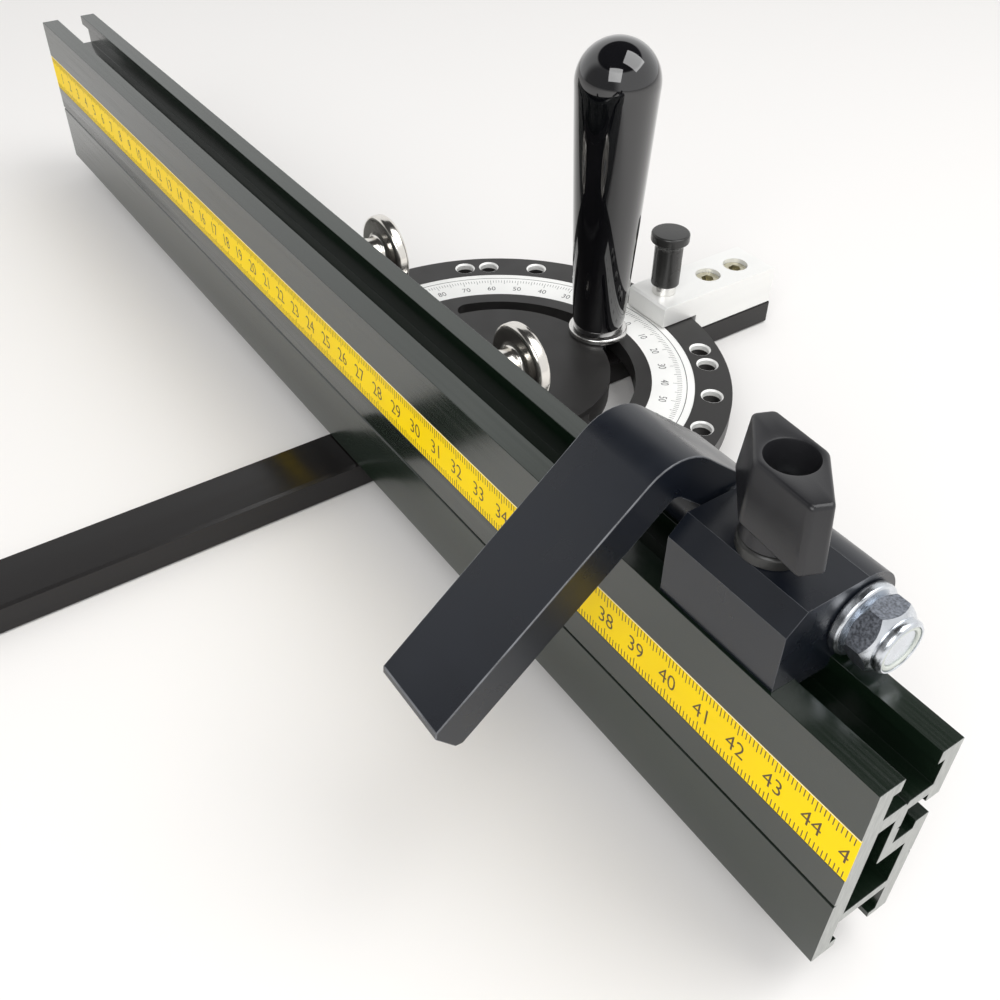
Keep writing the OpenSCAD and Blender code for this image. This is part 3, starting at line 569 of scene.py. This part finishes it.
class GAUGE_OT_fence(bpy.types.Operator):
    """Print the measuring tape: a mark each millimetre on both edges, a figure each centimetre"""
    bl_idname = "gauge.fence"
    bl_label = "Fence and tape"

    def execute(self, context):
        size = context.scene.gauge_sizes
        low, high = box_mm("tape_scale")
        every_ten, every_five, plain_mark = TAPE_MARKS
        face = low[1] - INK / 2
        count = int(high[0] - low[0])
        step = np.arange(1, count)
        mark = np.where(step % 10 == 0, every_ten, np.where(step % 5 == 0, every_five, plain_mark))
        x = low[0] + step
        sizes = np.stack([0 * x + size.mark_width, 0 * x + INK, mark], 1)
        lower = bars(np.stack([x, 0 * x + face, low[2] + 0.15 + mark / 2], 1), sizes)
        upper = bars(np.stack([x, 0 * x + face, high[2] - 0.5 - mark / 2], 1), sizes)
        piece("tape_marks", joined([lower, upper]), finish_of("tape_ink"),
              BODY_OF["tape_scale"])
        centre_z = (low[2] + high[2]) / 2 - 0.2
        words = [(str(i), (low[0] + 10 * i, low[1] - 0.01, centre_z), (1, 0, 0), (0, 0, 1))
                 for i in range(1, count // 10 + 1) if low[0] + 10 * i + 4 < high[0]]
        cut_off = 2.1
        last = (high[0] - cut_off, low[1] - 0.01, centre_z)
        words.append((str(count // 10)[0], last, (1, 0, 0), (0, 0, 1)))
        piece("tape_figures", figures(words, size.figure_height), finish_of("tape_ink"),
              BODY_OF["tape_scale"], smooth_angle=20)
        piece("tape_border", bars([[(low[0] + high[0]) / 2, face, high[2] - 0.12]],
                                  [high[0] - low[0] - 0.02, INK, 0.2]),
              finish_of("tape_edge"), BODY_OF["tape_scale"])
        dressed("fence", finish_of("green_anodised"), 0.22, segments=2)
        return {"FINISHED"}


class GAUGE_OT_head(bpy.types.Operator):
    """Round the head's edges, print its degree scale and line the index holes"""
    bl_idname = "gauge.head"
    bl_label = "Protractor head"

    def execute(self, context):
        size = context.scene.gauge_sizes
        dressed("protractor_head", finish_of("black_head"), 0.35, segments=2)
        top = box_mm("scale_ring")[1][2]
        every_ten, every_five, plain_mark = RING_MARKS
        entries, marks = [], []
        for degree in range(-85, 86):
            angle = math.radians(degree)
            out = np.array([math.sin(angle), math.cos(angle), 0])
            across = np.array([math.cos(angle), -math.sin(angle), 0])
            length = every_ten if degree % 10 == 0 else every_five if degree % 5 == 0 else plain_mark
            shape = bars([[0, RING_MARK_R - length / 2, top + INK / 2]], [RING_MARK_WIDTH, length, INK])
            marks.append(placed(shape, x=across, y=out))
            if degree % 10 == 0:
                entries.append((str(abs(degree)), out * RING_FIGURE_R + (0, 0, top + 0.01), across, out))
        piece("degree_marks", joined(marks), finish_of("scale_ink"), BODY_OF["scale_ring"])
        piece("degree_figures", figures(entries, size.degree_height), finish_of("scale_ink"),
              BODY_OF["scale_ring"], smooth_angle=20)
        angle = np.radians(np.linspace(-87, 87, 175))[:, None]
        inner, outer = RING_LINE_R
        ring = np.array([[inner, top - INK], [inner, top + INK], [outer, top + INK], [outer, top - INK]])
        grid = np.stack([np.sin(angle) * ring[:, 0], np.cos(angle) * ring[:, 0], ring[:, 1] + 0 * angle], 2)
        points, faces = grid_faces(grid, wrap=True)
        ends = np.array([[0, 1, 2, 3], len(points) - np.array([1, 2, 3, 4])])
        piece("degree_line", (points, np.concatenate([faces, ends])), finish_of("scale_ink"),
              BODY_OF["scale_ring"])
        plate = box_mm("index_block")[0][2] + 6.0
        inner, outer, flare = 3.12, 3.19, 3.68
        foot, seat = plate - 2.1, plate - 0.5
        section = [(inner, foot), (outer, foot), (outer, seat), (flare, plate),
                   (flare - 0.02, plate + 0.02), (inner, seat - 0.02), (inner, foot)]
        rings = []
        for sign in (1, -1):
            for stop in INDEX_STOPS if sign == 1 else INDEX_STOPS[1:]:
                angle = math.radians(stop * sign)
                place = (INDEX_R * math.sin(angle), INDEX_R * math.cos(angle), 0)
                rings.append(placed(turned(section, 40), place))
        piece("index_hole_walls", joined(rings), finish_of("drilled_aluminium"),
              BODY_OF["protractor_head"])
        for node in ("scale_ring", "pivot_screw", "pivot_washer"):
            dressed(node, finish_of(SLOT_OF[node]), 0)
        return {"FINISHED"}


class GAUGE_OT_handle(bpy.types.Operator):
    """Turn the handle's grip, its washer and its stud"""
    bl_idname = "gauge.handle"
    bl_label = "Handle"

    def execute(self, context):
        low, high = box_mm("handle_grip")
        axis = middle("handle_grip") * (1, 1, 0)
        dome = (high[0] - low[0]) / 2
        length = high[2] - low[2]
        foot = 8.55
        share = np.linspace(0, 1, 40)[1:]
        flank = np.stack([foot + (dome - foot) * share ** 0.9, (length - dome) * share], 1)
        round_top = np.radians(np.arange(3, 90, 3))
        cap = np.stack([dome * np.cos(round_top), length - dome + dome * np.sin(round_top)], 1)
        profile = np.concatenate([[(0, 0), (foot - 0.9, 0), (foot - 0.4, 0.12), (foot - 0.1, 0.4)],
                                  flank[1:], cap, [(0, length)]])
        piece("grip", placed(turned(profile, 128), axis + (0, 0, low[2])), finish_of("handle_black"),
              BODY_OF["handle_grip"], ("handle_grip",), 60)
        low, high = box_mm("handle_washer")
        radius, thick = (high[0] - low[0]) / 2, high[2] - low[2]
        profile = rounded([(4.1, 0), (radius, 0), (radius, thick), (4.1, thick)], 0.6)
        profile = np.concatenate([profile, profile[:1]])
        piece("grip_washer", placed(turned(profile), axis + (0, 0, low[2])),
              turned_metal("turned_washer", (0.80, 0.79, 0.77), 0.2, "Z", axis),
              BODY_OF["handle_washer"], ("handle_washer",))
        dressed("handle_stud", finish_of("zinc_steel"), 0)
        return {"FINISHED"}


class GAUGE_OT_fence_knobs(bpy.types.Operator):
    """Turn the two polished knobs that clamp the fence"""
    bl_idname = "gauge.fence_knobs"
    bl_label = "Fence knobs"

    def execute(self, context):
        for node in ("fence_knob_left", "fence_knob_right"):
            low, high = box_mm(node)
            centre = middle(node)
            radius, length = (high[0] - low[0]) / 2, high[1] - low[1]
            disc = length - 4.5
            outline = [(3.1, 0), (5.9, 0), (5.9, disc - 0.6), (7.2, disc), (radius, disc),
                       (radius, length), (radius - 3.2, length), (radius - 4.2, length - 0.9),
                       (4.6, length - 0.9), (4.2, length - 0.2), (3.1, length - 0.8)]
            profile = rounded(outline, [0, 0.4, 1.2, 0.3, 1.5, 1.5, 0.4, 0.4, 0.2, 0.2, 0])
            profile = np.concatenate([profile, profile[:1]])
            origin = (centre[0], low[1], centre[2])
            shape = placed(turned(profile, 128), origin, x=(1, 0, 0), y=(0, 0, -1), z=(0, 1, 0))
            piece(node + "_turned", shape,
                  turned_metal(node + "_steel", (0.83, 0.80, 0.75), 0.17, "Y", origin),
                  BODY_OF[node], (node,), 40)
        for node in ("fence_bolt_left", "fence_bolt_right"):
            dressed(node, finish_of("zinc_steel"), 0.1)
        return {"FINISHED"}


class GAUGE_OT_plunger(bpy.types.Operator):
    """Turn the index pin's knob and finish the block that carries it"""
    bl_idname = "gauge.plunger"
    bl_label = "Index plunger"

    def execute(self, context):
        low, high = box_mm("plunger_knob")
        axis = middle("plunger_knob") * (1, 1, 0)
        radius, length = (high[0] - low[0]) / 2, high[2] - low[2]
        skirt, bore = 4.9, 4.3
        outline = [(bore, 0), (skirt, 0), (skirt, length - 4.6), (radius, length - 3.0), (radius, length),
                   (0, length), (0, 9), (bore, 9)]
        profile = rounded(outline, [0, 0.3, 2.2, 0.5, 0.8, 0, 0, 0])
        profile = np.concatenate([profile, profile[:1]])
        piece("mushroom_knob", placed(turned(profile), axis + (0, 0, low[2])), finish_of("black_plastic"),
              BODY_OF["plunger_knob"], ("plunger_knob",), 40)
        dressed("index_block", finish_of("raw_aluminium"), 0.3)
        dressed("index_block_screws", finish_of("yellow_zinc"), 0.15, segments=2)
        for node in ("plunger_sleeve", "plunger_pin", "plunger_spring"):
            dressed(node, finish_of("bright_steel"), 0)
        return {"FINISHED"}


class GAUGE_OT_flip_stop(bpy.types.Operator):
    """Round the stop block and its arm, turn the lock nut, and finish the bolts and washers"""
    bl_idname = "gauge.flip_stop"
    bl_label = "Flip stop"

    def execute(self, context):
        edge = context.scene.gauge_sizes.edge
        for node in ("flip_arm", "stop_block"):
            # The rounded edges get a lighter finish as a painted highlight
            dressed(node, finish_of("black_anodised"), edge, edge_highlight=finish_of("painted_edge_highlight"))
        low, high = box_mm("arm_lock_nut")
        centre = middle("lock_nut_insert")
        shape = hex_nut(across=13.0, face=5.95, height=6.0, collar=5.9, total=high[0] - low[0], bore=4.05,
                        turn=-2.5)
        shape = placed(shape, (low[0], centre[1], centre[2]), x=(0, 1, 0), y=(0, 0, 1), z=(1, 0, 0))
        nut = piece("lock_nut", shape, finish_of("zinc_steel"), BODY_OF["arm_lock_nut"],
                    ("arm_lock_nut",), 30)
        nut.data.materials.append(finish_of("nut_flat"))
        past_collar = 6.2 * MM
        for face in nut.data.polygons:
            out = math.hypot(face.center.y - centre[1] * MM, face.center.z - centre[2] * MM)
            face.material_index = int(abs(face.normal.x) < 0.1 and out > past_collar)
        dressed("lock_nut_insert", finish_of("white_nylon"), 0.3)
        for node in ("arm_bolt", "arm_spacer_washer", "stop_slot_bolt"):
            dressed(node, finish_of("zinc_steel"), 0.12, segments=2)
        dressed("arm_nut_washer", finish_of("zinc_steel"), 0.7, segments=4)
        dressed("wing_knob_collar", finish_of("black_plastic"), 0.25)
        return {"FINISHED"}


class GAUGE_OT_wing_knob(bpy.types.Operator):
    """Mould the wing knob: an elongated hexagon that flares downwards over a round neck"""
    bl_idname = "gauge.wing_knob"
    bl_label = "Wing knob"

    def execute(self, context):
        low, high = box_mm("wing_knob")
        top = high[2] - low[2]
        rings = [(WING_HOLE_R + 0.4, top), (WING_HOLE_R + 0.12, top - 0.12), (WING_HOLE_R, top - 0.4),
                 (WING_HOLE_R, WING_INSERT_H), (WING_INSERT_R, WING_INSERT_H), (WING_INSERT_R, 0),
                 (6.1, 0), (6.3, 0.3), (5.85, WING_NECK + 0.2)]
        shape = wing_body(WING_NECK, top - WING_NECK, WING_FLARE, 0.7, 0.9, rings)
        along = (math.cos(WING_TURN), math.sin(WING_TURN), 0)
        across = (-math.sin(WING_TURN), math.cos(WING_TURN), 0)
        place = middle("wing_knob_collar") * (1, 1, 0) + (0, 0, low[2])
        piece("wing_knob_body", placed(shape, place, along, across),
              finish_of("wing_black"), BODY_OF["wing_knob"], ("wing_knob",), 40)
        dressed("wing_knob_insert", finish_of("insert_brass"), 0)
        return {"FINISHED"}


class GAUGE_OT_bar(bpy.types.Operator):
    """Finish the guide bar"""
    bl_idname = "gauge.bar"
    bl_label = "Guide bar"

    def execute(self, context):
        dressed("miter_bar", finish_of("black_bar"), 0.15, segments=2)
        return {"FINISHED"}


def plain(name, colour, roughness):
    """A plain material for the stage."""
    finish = Finish(name)
    finish.set(Base_Color=(*colour, 1), Roughness=roughness)
    return finish.material


def lamp(name, place, aim, size, power):
    """A soft rectangular lamp at a place, aimed at a point, in metres."""
    light = bpy.data.lights.new(name, "AREA")
    light.shape, light.size, light.size_y, light.energy = "RECTANGLE", size[0], size[1], power
    made = bpy.data.objects.new(name, light)
    made.location = place
    direction = Vector(aim) - Vector(place)
    made.rotation_euler = direction.to_track_quat("-Z", "Y").to_euler()
    bpy.context.scene.collection.objects.link(made)
    return made


class GAUGE_OT_stage(bpy.types.Operator):
    """Set the floor, the soft light and the camera"""
    bl_idname = "gauge.stage"
    bl_label = "Stage"

    def execute(self, context):
        stage = context.scene.gauge_stage
        reach = 4.0
        mesh = bpy.data.meshes.new("floor")
        mesh.from_pydata([(-reach, -reach, 0), (reach, -reach, 0), (reach, reach, 0), (-reach, reach, 0)],
                         [], [(0, 1, 2, 3)])
        floor = bpy.data.objects.new("floor", mesh)
        mesh.materials.append(plain("floor", stage.floor_colour, 0.6))
        context.scene.collection.objects.link(floor)
        world = bpy.data.worlds.new("studio")
        context.scene.world = world
        world.use_nodes = True
        nodes, links = world.node_tree.nodes, world.node_tree.links
        background = nodes["Background"]
        background.inputs["Color"].default_value = (1, 1, 1, 1)
        path = nodes.new("ShaderNodeLightPath")
        split = nodes.new("ShaderNodeSeparateXYZ")
        links.new(nodes.new("ShaderNodeTexCoord").outputs["Generated"], split.inputs[0])
        ceiling = nodes.new("ShaderNodeMapRange")
        ceiling.interpolation_type = "SMOOTHSTEP"
        for key, value in (("From Min", 0.65), ("From Max", 0.71), ("To Min", 0.92), ("To Max", 0.04)):
            ceiling.inputs[key].default_value = value
        links.new(split.outputs["Z"], ceiling.inputs["Value"])
        front = nodes.new("ShaderNodeMapRange")
        front.interpolation_type = "SMOOTHSTEP"
        for key, value in (("From Min", -0.80), ("From Max", -0.50), ("To Min", 0.25), ("To Max", 1.0)):
            front.inputs[key].default_value = value
        links.new(split.outputs["Y"], front.inputs["Value"])
        mirrored = nodes.new("ShaderNodeMath")
        mirrored.operation = "MULTIPLY"
        links.new(ceiling.outputs[0], mirrored.inputs[0])
        links.new(front.outputs[0], mirrored.inputs[1])
        # Glossy rays see the dark ceiling and front, camera rays see white, and the rest is even light
        strength = stage.world_light
        for ray, seen in (("Is Glossy Ray", mirrored.outputs[0]), ("Is Camera Ray", 1.0)):
            mix = nodes.new("ShaderNodeMix")
            links.new(path.outputs[ray], mix.inputs[0])
            for socket, value in ((mix.inputs[2], strength), (mix.inputs[3], seen)):
                if isinstance(value, float):
                    socket.default_value = value
                else:
                    links.new(value, socket)
            strength = mix.outputs[0]
        links.new(strength, background.inputs["Strength"])
        pivot = (0, 0, 0)
        lamp("key", KEY_PLACE, pivot, (0.9, 0.9), stage.key_light)
        lamp("fill", FILL_PLACE, pivot, (0.8, 0.8), stage.key_light * FILL_SHARE)
        camera = bpy.data.cameras.new("camera")
        camera.sensor_width, camera.lens = 36.0, stage.lens
        camera.clip_start, camera.clip_end = 0.01, 20
        made = bpy.data.objects.new("camera", camera)
        made.location = stage.camera_place
        made.rotation_euler = [math.radians(v) for v in stage.camera_turn]
        context.scene.collection.objects.link(made)
        context.scene.camera = made
        context.scene.view_settings.view_transform = "Standard"
        return {"FINISHED"}


OPERATORS = (GAUGE_OT_stage, GAUGE_OT_finishes, GAUGE_OT_bar, GAUGE_OT_fence, GAUGE_OT_head,
             GAUGE_OT_handle, GAUGE_OT_fence_knobs, GAUGE_OT_plunger, GAUGE_OT_flip_stop,
             GAUGE_OT_wing_knob)
GROUPS = {"gauge_finish": GaugeFinish, "gauge_sizes": GaugeSizes, "gauge_stage": GaugeStage}


class GAUGE_PT_panel(bpy.types.Panel):
    """Lists the gauge's pieces in the sidebar"""
    bl_idname = "GAUGE_PT_panel"
    bl_label = "Miter gauge"
    bl_space_type = "VIEW_3D"
    bl_region_type = "UI"
    bl_category = "Miter gauge"

    def draw(self, context):
        for name, group in GROUPS.items():
            for key in group.__annotations__:
                self.layout.prop(getattr(context.scene, name), key)
        for operator in OPERATORS:
            self.layout.operator(operator.bl_idname)


def register():
    """Add the property groups, operators and panel."""
    for name, group in GROUPS.items():
        bpy.utils.register_class(group)
        setattr(bpy.types.Scene, name, bpy.props.PointerProperty(type=group))
    for operator in OPERATORS:
        bpy.utils.register_class(operator)
    bpy.utils.register_class(GAUGE_PT_panel)


def unregister():
    """Take them away again."""
    bpy.utils.unregister_class(GAUGE_PT_panel)
    for operator in reversed(OPERATORS):
        bpy.utils.unregister_class(operator)
    for name, group in GROUPS.items():
        delattr(bpy.types.Scene, name)
        bpy.utils.unregister_class(group)


def main():
    register()
    for operator in OPERATORS:
        group, name = operator.bl_idname.split(".")
        getattr(getattr(bpy.ops, group), name)()


if __name__ == "__main__":
    main()
